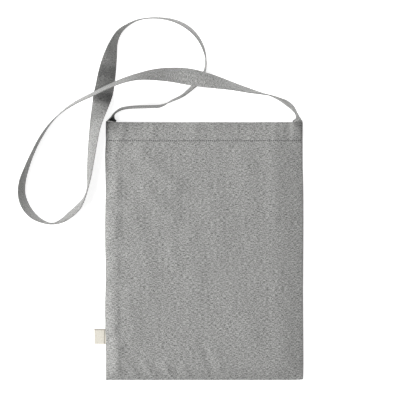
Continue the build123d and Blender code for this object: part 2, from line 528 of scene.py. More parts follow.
@dataclass(frozen=True)
class WovenTape:
    """Undyed woven label tape with fine cross ribs.

    Attributes:
        name: Name of the material.
        top: Place of the label's upper edge along the bag.
        light: Colour on the ribs.
        shade: Colour between the ribs.
        dark_edge_and_crease_shade: Colour of the darker upper edge, and of the painted shade in the
            crease beside the seam.
        ribs: Ribs to the metre.
        crease: Distance from the sewn end to the crease.
    """

    name: str = "label tape"
    top: float = 0.0
    light: tuple[float, float, float] = (0.74, 0.71, 0.635)
    shade: tuple[float, float, float] = (0.56, 0.53, 0.45)
    dark_edge_and_crease_shade: tuple[float, float, float] = (0.2, 0.17, 0.13)
    ribs: float = 1400.0
    crease: float = 1.9 * MM

    def build(self) -> bpy.types.Material:
        """Make the material."""
        sheet = NodeSheet(self.name)
        flat, across, along = sheet.flat_cloth()
        wave = sheet.math("SINE", sheet.math("MULTIPLY", across, self.ribs * 2 * math.pi))
        uneven = sheet.noise(flat, (420.0, 900.0, 1.0), 2.0)
        rib = sheet.added(wave, 0.18, uneven)
        colour = sheet.ramp(rib, [(0.25, self.shade), (0.6, self.light)])
        # The upper edge is painted darker, and the crease beside the seam is painted with shade.
        edge = sheet.math("MULTIPLY", sheet.near(across, self.top, 1.9 * MM), 2.2)
        edge = sheet.math("MINIMUM", edge, 1.0)
        crease = sheet.near(along, self.crease, 1.1 * MM)
        dark_edge_and_crease_shade = sheet.math("MULTIPLY", sheet.math("MAXIMUM", edge, crease), 0.85)
        colour = sheet.tinted(colour, dark_edge_and_crease_shade, self.dark_edge_and_crease_shade)
        sheet.link(colour, sheet.shader.inputs["Base Color"])
        sheet.matt(roughness=0.7, sheen=0.15)
        sheet.bump(rib, 0.4, 0.06 * MM)
        return sheet.material


@dataclass
class Wardrobe:
    """The finished materials, made once and shared by the pieces.

    Attributes:
        needle_row: Distance from the bag's bottom to its row of needle holes.
        made: The materials by finish.
    """

    needle_row: float
    made: dict[Finish, bpy.types.Material] = field(default_factory=dict)

    def __post_init__(self) -> None:
        """Make each finish."""
        self.made[Finish.CLOTH] = MelangeCloth(
            "melange cloth", needle_row=self.needle_row
        ).build()
        self.made[Finish.STRAP] = MelangeCloth(
            "melange strap cloth", contrast=0.75, dark_bands=STRAP_PAINTED_SHADE
        ).build()
        self.made[Finish.THREAD] = SewingThread().build()
        self.made[Finish.LABEL] = WovenTape(top=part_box("side_label")[1][1]).build()

    def dress(self, piece: bpy.types.Object, finish: Finish) -> None:
        """Give a piece its material.

        Args:
            piece: The piece.
            finish: Its finish.
        """
        piece.data.materials.clear()
        piece.data.materials.append(self.made[finish])


# ------------------------------------------------------------------------------ sizes
@dataclass
class BagSizes:
    """Sizes and places that every sub-assembly of the bag shares.

    Attributes:
        cloth: Thickness of one layer of cloth.
        hem: Depth of cloth folded inwards at the mouth.
        seam_height: Height of the seam line at the bag's closed edges.
        edge_radius: How roundly the cloth turns at the closed edges.
        left: Place of the left seam.
        right: Place of the right seam.
        bottom: Place of the bottom fold.
        mouth: Place of the mouth.
    """

    cloth: float = 0.55 * MM
    hem: float = 26.0 * MM
    seam_height: float = 1.7 * MM
    edge_radius: float = 1.4 * MM
    left: float = field(init=False)
    right: float = field(init=False)
    bottom: float = field(init=False)
    mouth: float = field(init=False)

    def __post_init__(self) -> None:
        """Read the bag's outline from the back panel."""
        low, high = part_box("back_panel")
        self.left, self.bottom = low[0], low[1]
        self.right, self.mouth = high[0], high[1]

    def width(self) -> float:
        """Width of the bag between its seams."""
        return self.right - self.left

    def height(self) -> float:
        """Height of the bag from its bottom fold to its mouth."""
        return self.mouth - self.bottom

    def from_seam(self, x: np.ndarray) -> np.ndarray:
        """Distance from the nearer side seam."""
        return np.minimum(x - self.left, self.right - x)

    def needle_row(self) -> float:
        """Distance from the bag's bottom to the row of stitches that holds the hem."""
        return self.height() - self.hem + 0.4 * MM


@dataclass(frozen=True)
class SoftFold:
    """A soft ridge in the cloth between two points, in millimetres.

    Attributes:
        start: First end of the ridge, x and y.
        end: Last end of the ridge, x and y.
        height: Height of the ridge; below zero it is a dent.
        width: Distance from its top to where it fades.
    """

    start: tuple[float, float]
    end: tuple[float, float]
    height: float
    width: float

    def rise(self, x: np.ndarray, y: np.ndarray) -> np.ndarray:
        """Height that the fold adds at each place.

        Args:
            x: Places across the bag, in metres.
            y: Places along the bag, in metres.

        Returns:
            The added height in metres.
        """
        first = np.array(self.start) * MM
        run = np.array(self.end) * MM - first
        length = math.hypot(*run)
        along = ((x - first[0]) * run[0] + (y - first[1]) * run[1]) / length
        aside = ((x - first[0]) * run[1] - (y - first[1]) * run[0]) / length
        width = self.width * MM
        past = np.maximum(0.0, np.maximum(-along, along - length))
        return self.height * MM * np.exp(-(aside**2 + past**2) / width**2)


FRONT_FOLDS = (
    # long soft folds that run down and to the right from the left seam
    SoftFold((-88, 136), (-42, 92), 2.0, 13),
    SoftFold((-84, 90), (-44, 50), 1.6, 12),
    SoftFold((-47, 4), (-39, -18), 1.1, 9),
    SoftFold((-86, 0), (-82, -58), 0.8, 15),
    SoftFold((-102, 58), (-94, 34), 0.8, 12),
    SoftFold((-108, -66), (-100, -120), 1.0, 13),
    # the curved crease above the bottom edge
    SoftFold((-3, -130), (2, -148), -0.7, 5),
    SoftFold((3, -150), (12, -172), -0.6, 5),
    SoftFold((14, -136), (22, -160), 0.35, 8),
    # broad waves across the middle and the right
    SoftFold((99, 165), (98, 50), 0.8, 12),
    SoftFold((60, 130), (66, 60), 0.7, 14),
    SoftFold((30, -60), (70, -110), 0.9, 18),
    SoftFold((10, 60), (24, 0), 0.7, 16),
    SoftFold((-20, 30), (-10, -60), 0.8, 15),
    SoftFold((60, -120), (96, -160), 0.8, 18),
    SoftFold((108, -110), (122, -160), 0.7, 14),
    # flutes in the hem
    SoftFold((102, 186), (101, 162), 0.35, 4.5),
    SoftFold((114, 186), (113, 160), 0.35, 4.5),
    SoftFold((127, 186), (126, 158), 0.3, 4.5),
    SoftFold((-12, 186), (-13, 160), 0.6, 6),
    SoftFold((-72, 186), (-74, 162), 0.7, 6),
    SoftFold((-116, 186), (-119, 160), 1.2, 7),
    # the left seam's puckers, and the dents between them
    SoftFold((-126, 150), (-127, 128), 0.7, 8),
    SoftFold((-125, 100), (-127, 80), 1.7, 8),
    SoftFold((-126, 50), (-128, 24), 1.5, 8),
    SoftFold((-127, -14), (-129, -30), 1.1, 7),
    SoftFold((-128, -60), (-129, -74), 1.1, 7),
    SoftFold((-127, -88), (-128, -112), 1.5, 8),
    SoftFold((-125, -132), (-124, -166), 2.0, 9),
    SoftFold((-139, 118), (-116, 106), -0.9, 5),
    SoftFold((-139, 66), (-114, 52), -0.9, 5),
    SoftFold((-139, 8), (-116, -4), -0.9, 5),
    SoftFold((-139, -44), (-116, -52), -0.8, 5),
    SoftFold((-139, -80), (-118, -88), -0.8, 4),
    SoftFold((-139, -120), (-120, -127), -0.9, 4),
    # puckers that lean out of the left half of the bottom
    SoftFold((-110, -158), (-96, -178), 1.2, 6),
    SoftFold((-84, -160), (-72, -179), 1.0, 6),
    SoftFold((-56, -162), (-46, -180), 1.0, 6),
    SoftFold((-30, -164), (-22, -180), 0.8, 5),
)


@dataclass
class ClothSurface:
    """The shape of one panel of the bag: where each place of its flat cloth lies.

    Attributes:
        sizes: The bag's sizes.
        crown: How far the panel swells between its seams.
        left_run: Distance over which the swell fades at the left seam.
        right_run: Distance over which the swell fades at the right seam.
        bottom_run: Distance over which the swell fades at the bottom.
        relief: Factor on the height of the soft folds.
        folds: Soft folds on the panel.
    """

    sizes: BagSizes
    crown: float = 6.4 * MM
    left_run: float = 18.0 * MM
    right_run: float = 38.0 * MM
    bottom_run: float = 18.0 * MM
    relief: float = 1.8
    folds: tuple[SoftFold, ...] = FRONT_FOLDS

    def side_bow(self, y: np.ndarray) -> tuple[np.ndarray, np.ndarray]:
        """How far the left and right outlines wander from straight.

        Args:
            y: Places along the bag.

        Returns:
            The shift of the left outline and of the right one, in metres.
        """
        share = (y - self.sizes.bottom) / self.sizes.height()
        left = 2.4 * smooth_step((share - 0.84) / 0.16) + 0.5 * np.sin(share * 19.0)
        left = left + 0.9 * smooth_step((0.32 - share) / 0.2) * np.sin(share * 46.0 + 0.6) ** 2
        right = -1.9 * smooth_step((share - 0.72) / 0.28) + 0.25 * np.sin(share * 11.0 + 1.0)
        return left * MM, right * MM

    def height(self, x: np.ndarray, y: np.ndarray) -> np.ndarray:
        """Height of the panel's outer face over the ground.

        Args:
            x: Places across the bag.
            y: Places along the bag.

        Returns:
            The height in metres.
        """
        size = self.sizes
        from_left = x - size.left
        from_right = size.right - x
        from_bottom = y - size.bottom
        nearest = np.minimum(size.from_seam(x), from_bottom)
        turn = 1.0 - np.clip(nearest, 0.0, size.edge_radius) / size.edge_radius
        edge = size.edge_radius * np.sqrt(np.maximum(0.0, 1.0 - turn * turn))
        swell = self.roll_off(from_left / self.left_run)
        swell = swell * self.roll_off(from_right / self.right_run)
        swell = swell * self.roll_off(from_bottom / self.bottom_run)
        swell = swell * (1.0 - 0.3 * smooth_step(1.0 - (size.mouth - y) / (70.0 * MM)))
        fade = smooth_step(nearest / (7.0 * MM))
        lumps = self.relief * sum(fold.rise(x, y) for fold in self.folds) * fade
        ripple = self.seam_ripple(from_left, y, 0.0) + self.seam_ripple(from_right, y, 2.0)
        return size.seam_height + edge + self.crown * swell + lumps + ripple + self.hem_relief(x, y)

    def roll_off(self, share: np.ndarray) -> np.ndarray:
        """How the swell climbs from a seam: steadily, then levelling out.

        Args:
            share: Distance from the seam, as a share of the run.

        Returns:
            The swell, from 0 at the seam to 1.
        """
        return 1.0 - (1.0 - np.clip(share, 0.0, 1.0)) ** 1.6

    def seam_ripple(self, inward: np.ndarray, y: np.ndarray, phase: float) -> np.ndarray:
        """Small puckers along a side seam, over the allowance inside it.

        Args:
            inward: Distance from the seam.
            y: Places along the bag.
            phase: Start of the ripple.

        Returns:
            The added height in metres.
        """
        near = np.exp(-((inward - 5.0 * MM) / (6.0 * MM)) ** 2)
        wave = np.sin(y * 330.0 + phase) + 0.7 * np.sin(y * 571.0 + 1.7 * phase + 0.4)
        allowance = 0.35 * MM * smooth_step((12.0 * MM - inward) / (4.0 * MM))
        return 0.2 * MM * near * wave + allowance * smooth_step(inward / (3.0 * MM))

    def hem_relief(self, x: np.ndarray, y: np.ndarray) -> np.ndarray:
        """The thicker hem, its stitched groove and the bulk of the sewn-in strap ends.

        Args:
            x: Places across the bag.
            y: Places along the bag.

        Returns:
            The added height in metres.
        """
        size = self.sizes
        below_mouth = size.mouth - y
        hem = 0.45 * MM * smooth_step((size.hem + 1.0 * MM - below_mouth) / (3.0 * MM))
        groove = -0.22 * MM * np.exp(-((below_mouth - size.hem + 0.4 * MM) / (1.1 * MM)) ** 2)
        nearest = size.from_seam(x)
        side = smooth_step((17.0 * MM - nearest) / (5.0 * MM)) * smooth_step(nearest / (2.5 * MM))
        tab = 1.7 * MM * side * smooth_step((27.0 * MM - below_mouth) / (8.0 * MM))
        return hem + groove + tab


@dataclass
class FrontPanel:
    """The front panel with its hem, in two halves that meet at the middle.

    Attributes:
        sizes: The bag's sizes.
        surface: The panel's shape.
        spacing: Distance between the mesh's rows and columns.
        fold_radius: Radius of the cloth's turn at the mouth.
    """

    sizes: BagSizes
    surface: ClothSurface
    spacing: float = 2.2 * MM
    fold_radius: float = 0.75 * MM

    def columns(self) -> np.ndarray:
        """Places across the flat cloth, closer together at the seams."""
        size = self.sizes
        inner_left = size.left + EDGE_STEPS
        inner_right = size.right - EDGE_STEPS[::-1]
        left = joined(inner_left, graded(inner_left[-1], 0.0, self.spacing))
        right = joined(graded(0.0, inner_right[0], self.spacing), inner_right)
        return joined(left, right)

    def rows(self) -> np.ndarray:
        """Distances along the flat cloth from the bottom to the hem's raw edge."""
        height = self.sizes.height()
        groove = height - self.sizes.hem
        before, after = groove - 3.0 * MM, groove + 3.0 * MM
        body = graded(EDGE_STEPS[-1], before, self.spacing)
        row_of_stitches = graded(before, after, 0.6 * MM)
        hem = graded(after, height, self.spacing)
        turn = height + graded(0.0, math.pi * self.fold_radius, 0.4 * MM)
        facing = graded(turn[-1], turn[-1] + self.sizes.hem, self.spacing)
        return joined(EDGE_STEPS, body, row_of_stitches, hem, turn, facing)

    def cut_length(self) -> float:
        """Length of the flat cloth, with its turned hem."""
        return self.sizes.height() + self.sizes.hem + math.pi * self.fold_radius

    def turned(self, along: np.ndarray) -> np.ndarray:
        """How far the cloth has turned over the mouth, in radians."""
        return np.clip((along - self.sizes.height()) / self.fold_radius, 0.0, math.pi)

    def place(self, across: np.ndarray, along: np.ndarray) -> np.ndarray:
        """Where each place of the flat cloth lies in the finished bag.

        Args:
            across: Places across the cloth, as rows and columns.
            along: Distances from the bottom, as rows and columns.

        Returns:
            The points, as rows, columns and 3.
        """
        size = self.sizes
        height = size.height()
        turned = self.turned(along)
        facing = np.maximum(0.0, along - height - math.pi * self.fold_radius)
        share = (across - size.left) / size.width()
        dip = 0.45 * MM * np.sin(math.pi * share) ** 2 * (1.0 + 0.5 * np.sin(share * 9.0))
        shorter = (self.fold_radius + 0.7 * MM + dip) * smooth_step(along / height)
        y_top = np.minimum(along, height) + size.bottom - shorter
        y = y_top + self.fold_radius * np.sin(turned) - facing
        outer = self.surface.height(across, np.minimum(y + shorter, size.mouth))
        z = outer - self.fold_radius * (1.0 - np.cos(turned))
        left_bow, right_bow = self.surface.side_bow(y)
        inset = 1.4 * MM * smooth_step(turned / math.pi)
        middle = 0.5 * (size.left + size.right)
        drawn_in = middle + (across - middle) * (1.0 - 2.0 * inset / size.width())
        x = drawn_in + left_bow * (1.0 - share) ** 3 + right_bow * share**3
        shift_x, shift_y = self.bottom_shift(across, along)
        return np.stack([x + shift_x, y + shift_y, z], axis=-1)

    def bottom_shift(self, across: np.ndarray,
                     along: np.ndarray) -> tuple[np.ndarray, np.ndarray]:
        """The fullness of the bottom fold, and the pull that rounds its right corner more.

        Args:
            across: Places across the cloth.
            along: Distances from the bottom.

        Returns:
            The shift in X and in Y, in metres.
        """
        reach = 7.0 * MM
        side = np.where(across < 0, -1.0, 1.0)
        pull = np.exp(-self.sizes.from_seam(across) / reach) * np.exp(-along / reach)
        rounding = np.where(across < 0, 0.3 * MM, 0.9 * MM)
        fold = 0.5 * MM * np.exp(-along / (12.0 * MM))
        return -side * rounding * pull, rounding * pull - fold

    def build(self, wardrobe: Wardrobe) -> list[bpy.types.Object]:
        """Make both halves of the panel.

        Args:
            wardrobe: The finishes.

        Returns:
            The left half and the right half.
        """
        across, along = np.meshgrid(self.columns(), self.rows())
        points = self.place(across, along)
        flat = np.stack([across, along], axis=-1)
        middle = int(np.argmin(np.abs(self.columns())))
        halves = []
        spans = (("front_panel_left", slice(0, middle + 1)),
                 ("front_panel_right", slice(middle, None)))
        for name, span in spans:
            half = sheet_mesh(name, points[:, span], flat[:, span])
            thicken(half, self.sizes.cloth, -1.0)
            wardrobe.dress(half, Finish.CLOTH)
            halves.append(half)
        return halves


@dataclass
class BackPanel(FrontPanel):
    """The back panel with its hem, lying on the ground."""

    def place(self, across: np.ndarray, along: np.ndarray) -> np.ndarray:
        """Where each place of the flat cloth lies, mirrored from the front.

        Args:
            across: Places across the cloth, as rows and columns.
            along: Distances from the bottom, as rows and columns.

        Returns:
            The points, as rows, columns and 3.
        """
        radius = self.sizes.seam_height
        points = super().place(across, along)
        nearest = np.minimum(self.sizes.from_seam(across), along)
        turn = 1.0 - np.clip(nearest, 0.0, radius) / radius
        outer = radius - radius * np.sqrt(np.maximum(0.0, 1.0 - turn * turn))
        points[..., 2] = outer + self.fold_radius * (1.0 - np.cos(self.turned(along)))
        return points

    def build(self, wardrobe: Wardrobe) -> list[bpy.types.Object]:
        """Make the panel in one piece.

        Args:
            wardrobe: The finishes.

        Returns:
            The panel, alone in a list.
        """
        across, along = np.meshgrid(self.columns(), self.rows())
        points = self.place(across, along)[:, ::-1]
        flat = np.stack([across, along], axis=-1)[:, ::-1]
        panel = sheet_mesh("back_panel_cloth", points, flat)
        thicken(panel, self.sizes.cloth, -1.0)
        wardrobe.dress(panel, Finish.CLOTH)
        return [panel]


# ----------------------------------------------------------------------------- thread
@dataclass
class Stitches:
    """Rows of separate stitches, each one a short rounded thread.

    Attributes:
        length: Length of a stitch.
        thickness: Thickness of the thread.
        pitch: Distance from stitch to stitch.
    """

    length: float = 1.9 * MM
    thickness: float = 0.42 * MM
    pitch: float = STITCH_PITCH

    def pattern(self) -> tuple[np.ndarray, np.ndarray]:
        """One stitch along X: a rounded bar that dips into the cloth at both ends.

        Returns:
            Its vertices and its faces.
        """
        clear_selection()
        bpy.ops.mesh.primitive_cylinder_add(vertices=6, radius=self.thickness / 2,
                                            depth=self.length, rotation=(0, math.pi / 2, 0))
        bar = bpy.context.object
        bpy.ops.object.transform_apply(location=True, rotation=True, scale=True)
        bpy.ops.object.mode_set(mode="EDIT")
        bpy.ops.mesh.select_all(action="DESELECT")
        bpy.ops.object.mode_set(mode="OBJECT")
        for face in bar.data.polygons:
            face.select = abs(face.normal.x) > 0.9
        bpy.ops.object.mode_set(mode="EDIT")
        bpy.ops.mesh.inset(thickness=self.thickness * 0.18, depth=self.thickness * 0.35)
        bpy.ops.mesh.select_all(action="SELECT")
        bpy.ops.mesh.quads_convert_to_tris()
        bpy.ops.object.mode_set(mode="OBJECT")
        vertices = np.array([vertex.co for vertex in bar.data.vertices])
        vertices[:, 2] -= 0.3 * self.thickness * (np.abs(vertices[:, 0]) / (self.length / 2)) ** 3
        faces = np.array([list(face.vertices) for face in bar.data.polygons])
        bpy.data.objects.remove(bar, do_unlink=True)
        return vertices, faces

    def build(self, name: str, places: np.ndarray, headings: np.ndarray, normals: np.ndarray,
              wardrobe: Wardrobe) -> bpy.types.Object:
        """Copy the stitch to each place and join the copies.

        Args:
            name: Name of the piece.
            places: Middle of each stitch.
            headings: Unit direction of each stitch.
            normals: Unit direction out of the cloth at each stitch.
            wardrobe: The finishes.

        Returns:
            The row of stitches.
        """
        vertices, faces = self.pattern()
        side = np.cross(normals, headings)
        points = (places[:, None] + vertices[None, :, :1] * headings[:, None]
                  + vertices[None, :, 1:2] * side[:, None]
                  + vertices[None, :, 2:] * normals[:, None]).reshape(-1, 3)
        shift = (np.arange(len(places)) * len(vertices))[:, None, None]
        mesh = bpy.data.meshes.new(name)
        mesh.from_pydata(points.tolist(), [], (faces[None] + shift).reshape(-1, 3).tolist())
        row = bpy.data.objects.new(name, mesh)
        bpy.context.scene.collection.objects.link(row)
        make_active(row)
        bpy.ops.object.shade_smooth()
        wardrobe.dress(row, Finish.THREAD)
        return row


# ------------------------------------------------------------------------------ strap
# The strap's route, from its left end to its right end: x from the bag's
# left side (from its right side in the last few points), y from the mouth, in metres, how
# far the lower edge is raised (0 on the ground, 1 over the upright rise that it crosses),
# and lean from upright in degrees (to the left of the way it runs is positive). The strap
# turns over once, flat on the ground under the crossing, so its lean ends half a turn on.
ROUTE_FROM_LEFT_SIDE = [
    (0.0125, 0.0105, 0.0, 3), (0.0220, 0.0173, 0.0, 5), (0.0350, 0.0198, 0.0, 6),
    (0.0580, 0.0208, 0.0, 7), (0.0770, 0.0216, 0.0, 6), (0.0835, 0.0238, 0.0, 2),
    (0.0943, 0.0292, 0.0, -4), (0.1085, 0.0359, 0.0, -7), (0.1212, 0.0462, 0.0, -11),
    (0.1326, 0.0580, 0.0, -16), (0.1401, 0.0701, 0.0, -5), (0.1422, 0.0850, 0.0, -1),
    (0.1396, 0.1005, 0.0, 4), (0.1318, 0.1169, 0.0, 8), (0.1191, 0.1307, 0.0, 10),
    (0.1014, 0.1408, 0.0, 8), (0.0815, 0.1455, 0.0, 4), (0.0617, 0.1459, 0.0, 2),
    (0.0447, 0.1427, 0.0, 0), (0.0305, 0.1354, 0.0, -5), (0.0196, 0.1261, 0.0, -13),
    (0.0121, 0.1119, 0.0, -23), (0.0067, 0.0906, 0.0, -46), (0.0024, 0.0679, 0.0, -66),
    (-0.0014, 0.0453, 0.0, -84), (-0.0064, 0.0240, 0.0, -118), (-0.0135, -0.0044, 0.0, -143),
    (-0.0173, -0.0299, 0.0, -152), (-0.0203, -0.0554, 0.0, -159),
    (-0.0224, -0.0752, 0.0, -166), (-0.0248, -0.0937, 0.0, -176),
    (-0.0289, -0.1070, 0.0, -175), (-0.0376, -0.1206, 0.0, -164),
    (-0.0496, -0.1320, 0.0, -162), (-0.0617, -0.1405, 0.0, -170),
    (-0.0744, -0.1443, 0.0, -178), (-0.0880, -0.1413, 0.0, -173),
    (-0.1021, -0.1327, 0.0, -162), (-0.1127, -0.1192, 0.0, -157),
    (-0.1180, -0.1029, 0.0, -159), (-0.1170, -0.0852, 0.0, -162),
    (-0.1113, -0.0667, 0.0, -168), (-0.1021, -0.0441, 0.0, -173),
    (-0.0900, -0.0207, 0.0, -175), (-0.0758, -0.0008, 0.0, -179),
    (-0.0603, 0.0141, 0.03, -183), (-0.0418, 0.0263, 0.17, -187),
    (-0.0191, 0.0373, 0.45, -190), (0.0035, 0.0484, 0.5, -191), (0.0262, 0.0576, 0.58, -194),
    (0.0489, 0.0633, 0.65, -202), (0.0716, 0.0657, 0.76, -217), (0.0943, 0.0654, 0.89, -229),
    (0.1170, 0.0628, 1.0, -240), (0.1382, 0.0589, 1.0, -233), (0.1595, 0.0543, 0.8, -219),
    (0.1808, 0.0492, 0.52, -204), (0.2020, 0.0438, 0.28, -194),
]
ROUTE_FROM_RIGHT_SIDE = [
    (-0.0581, 0.0392, 0.1, -184), (-0.0454, 0.0362, 0.02, -180), (-0.0340, 0.0316, 0.0, -175),
    (-0.0241, 0.0264, 0.0, -169), (-0.0163, 0.0200, 0.0, -170), (-0.0102, 0.0115, 0.0, -176),
]
# How each sewn end opens past the mouth, in millimetres and degrees: distance in from the
# bag's side, distance past the mouth, height of the fold, fold of the upper and the lower
# half, and how far the section still stands square to the mouth.
LEFT_END = [
    (1.9, -0.2, 3.6, 60, 84, 1.0), (3.0, 0.9, 5.6, 12, 74, 1.0), (5.6, 3.3, 9.6, 0, 48, 0.8),
    (8.6, 6.2, 12.8, 0, 22, 0.4),
]
RIGHT_END = [
    (1.7, -0.3, 3.4, 60, 84, 1.0), (3.0, 2.0, 7.4, 22, 60, 0.9), (5.2, 5.2, 12.4, 4, 26, 0.6),
]


@dataclass
class Strap:
    """The long flat strap, one ribbon from sewn end to sewn end.

    Attributes:
        sizes: The bag's sizes.
        width: Width of the strap.
        thickness: Thickness of its folded cloth.
        rise: Height to which a raised lower edge is lifted over the crossing.
        ground_gap: Gap between the lower edge and the ground.
        step: Distance between cross-sections.
        stitch_inset: Distance of the edge stitching from the edges.
        tab: Length of strap sewn inside the hem.
        length: Whole length, both sewn ends included, known once it is built.
    """

    sizes: BagSizes
    width: float = 27.0 * MM
    thickness: float = 1.6 * MM
    rise: float = 27.1 * MM
    ground_gap: float = 0.3 * MM
    step: float = 2.0 * MM
    stitch_inset: float = 2.6 * MM
    tab: float = 22.0 * MM
    length: float = field(init=False, default=0.0)

    def keys(self) -> np.ndarray:
        """The route with its sewn ends.

        Returns:
            One row to each point: x, y, height of the middle, lean, fold of the upper half,
            fold of the lower half, and how far it stands square to the mouth.
        """
        size = self.sizes
        rows = []
        both = ([(x + size.left, y, raised, lean) for x, y, raised, lean in ROUTE_FROM_LEFT_SIDE]
                + [(x + size.right, y, raised, lean)
                   for x, y, raised, lean in ROUTE_FROM_RIGHT_SIDE])
        for x, y, raised, lean in both:
            angle = math.radians(lean)
            reach = (self.width * abs(math.cos(angle))
                     + self.thickness * abs(math.sin(angle)))
            middle = self.ground_gap + raised * self.rise + reach / 2
            rows.append((x, y + size.mouth, middle, angle, 0.0, 0.0, 0.0))
        start = self.sewn_end(LEFT_END, 1.0, 0.0)
        end = self.sewn_end(RIGHT_END, -1.0, -math.pi)
        return np.array(start + rows + end[::-1])

    def sewn_end(self, opening: list[tuple], inward: float, lean: float) -> list[tuple]:
        """A sewn end: folded flat inside the hem and opening just past the mouth.

        Args:
            opening: How it opens, from the mouth outwards.
            inward: 1 for the left end, -1 for the right one.
            lean: How far the strap has turned there, in radians.

        Returns:
            Rows like those of keys, from inside the hem outwards.
        """
        size = self.sizes
        edge = size.left if inward > 0 else size.right
        rows = []
        for past in (-self.tab, -0.5 * self.tab):
            rows.append((edge + inward * 1.6 * MM, size.mouth + past, 3.3 * MM, lean,
                         math.radians(82), math.radians(84), 1.0))
        for x, y, z, upper, lower, square in opening:
            rows.append((edge + inward * x * MM, size.mouth + y * MM, z * MM, lean,
                         math.radians(upper), math.radians(lower), square))
        return rows

    def stations(self) -> tuple[np.ndarray, np.ndarray]:
        """The route smoothed and cut into even steps.

        Returns:
            Rows like those of keys, and each row's distance along the strap.
        """
        keys = self.keys()
        gaps = np.linalg.norm(np.diff(keys[:, :3], axis=0), axis=1)
        place = np.concatenate([[0.0], np.cumsum(np.sqrt(gaps))])
        slope = np.gradient(keys, place, axis=0)
        fine = []
        for index in range(len(keys) - 1):
            share = np.linspace(0.0, 1.0, 24, endpoint=False)[:, None]
            span = place[index + 1] - place[index]
            fine.append(
                (2 * share**3 - 3 * share**2 + 1) * keys[index]
                + (share**3 - 2 * share**2 + share) * span * slope[index]
                + (3 * share**2 - 2 * share**3) * keys[index + 1]
                + (share**3 - share**2) * span * slope[index + 1]
            )
        fine = np.concatenate(fine + [keys[-1:]])
        run = np.linalg.norm(np.diff(fine[:, :3], axis=0), axis=1)
        along = np.concatenate([[0.0], np.cumsum(run)])
        opening = self.tab + 24.0 * MM
        even = joined(graded(0.0, opening, 0.5 * self.step),
                      graded(opening, along[-1] - opening, self.step),
                      graded(along[-1] - opening, along[-1], 0.5 * self.step))
        rows = np.stack([np.interp(even, along, fine[:, k]) for k in range(fine.shape[1])], -1)
        return rows, even

    def across(self) -> np.ndarray:
        """Places across the strap, closer together at its edges and stitched lines."""
        half = self.width / 2
        inset = half - self.stitch_inset
        right = np.array([0.0, 0.22, 0.5, 0.78]) * inset
        edge = np.array([inset - 0.7 * MM, inset, inset + 0.7 * MM, half - 0.9 * MM,
                         half - 0.35 * MM, half - 0.08 * MM])
        positive = np.concatenate([right, edge])
        return np.concatenate([-positive[:0:-1], positive])

    def half_thickness(self, place: np.ndarray) -> np.ndarray:
        """Half of the strap's thickness: full between the stitching, pinched along it.

        Args:
            place: Places across the strap.

        Returns:
            Half the thickness at each place, in metres.
        """
        half = self.width / 2
        out = np.abs(place)
        pinch = np.exp(-((out - half + self.stitch_inset) / (0.75 * MM)) ** 2)
        rounding = np.sqrt(np.clip((half - out) / (0.9 * MM), 0.0, 1.0))
        return 0.5 * self.thickness * (1.0 - 0.3 * pinch) * (0.25 + 0.75 * rounding)

    def frames(self, rows: np.ndarray) -> tuple[np.ndarray, np.ndarray]:
        """The strap's upward and inward directions at each station.

        Args:
            rows: The stations.

        Returns:
            The unit vectors up the strap's width, and to the right of the way it runs.
        """
        heading = np.gradient(rows[:, :2], axis=0)
        heading /= np.linalg.norm(heading, axis=1)[:, None]
        out = np.where(rows[:, :1] < 0.0, 1.0, -1.0) * np.array([[0.0, 1.0]])
        heading = heading + rows[:, 6:7] * (out - heading)
        heading /= np.linalg.norm(heading, axis=1)[:, None]
        level = np.zeros(len(rows))
        left = np.stack([-heading[:, 1], heading[:, 0], level], axis=-1)
        lean = rows[:, 3:4]
        upright = np.array([0.0, 0.0, 1.0])
        up = np.cos(lean) * upright + np.sin(lean) * left
        right = np.sin(lean) * upright - np.cos(lean) * left
        return up, right

    def section(self, rows: np.ndarray, place: np.ndarray) -> tuple[np.ndarray, np.ndarray]:
        """The middle layer of the strap and its normals.

        Args:
            rows: The stations.
            place: Places across the strap.

        Returns:
            Points and unit normals, as stations, places and 3.
        """
        up, right = self.frames(rows)
        turned = np.where(np.cos(rows[:, 3:4]) < 0.0, -1.0, 1.0)
        fold = np.where(place[None, :] * turned > 0, rows[:, 4:5], rows[:, 5:6])
        slope = np.sin(rows[:, 3:4])
        bowed = np.sign(slope) * smooth_step(np.abs(slope) / 0.9) * 1.6 * MM
        bulge = bowed * (1.0 - (2 * place[None, :] / self.width) ** 2)
        raised = place[None, :] * np.cos(fold)
        inward = turned * np.abs(place[None, :]) * np.sin(fold) + bulge
        points = (rows[:, None, :3] + raised[..., None] * up[:, None]
                  + inward[..., None] * right[:, None])
        over = np.gradient(points, axis=1)
        forward = np.gradient(points, axis=0)
        normal = np.cross(forward, over)
        normal /= np.linalg.norm(normal, axis=-1)[..., None]
        return points, normal

    def build(self, wardrobe: Wardrobe) -> bpy.types.Object:
        """Make the ribbon.

        Args:
            wardrobe: The finishes.

        Returns:
            The strap.
        """
        rows, along = self.stations()
        place = self.across()
        points, normal = self.section(rows, place)
        half = self.half_thickness(place)[None, :, None]
        faces = [points + normal * half, (points - normal * half)[:, ::-1]]
        ring = np.concatenate(faces, axis=1)
        ring = np.concatenate([ring, ring[:, :1]], axis=1)
        girth = np.concatenate([place, SECOND_FACE + place[::-1], place[:1]])
        flat = np.stack(np.broadcast_arrays(girth[None, :], along[:, None]), axis=-1)
        strap = sheet_mesh("strap_ribbon", ring, flat)
        self.close(strap)
        wardrobe.dress(strap, Finish.STRAP)
        self.length = float(along[-1])
        return strap

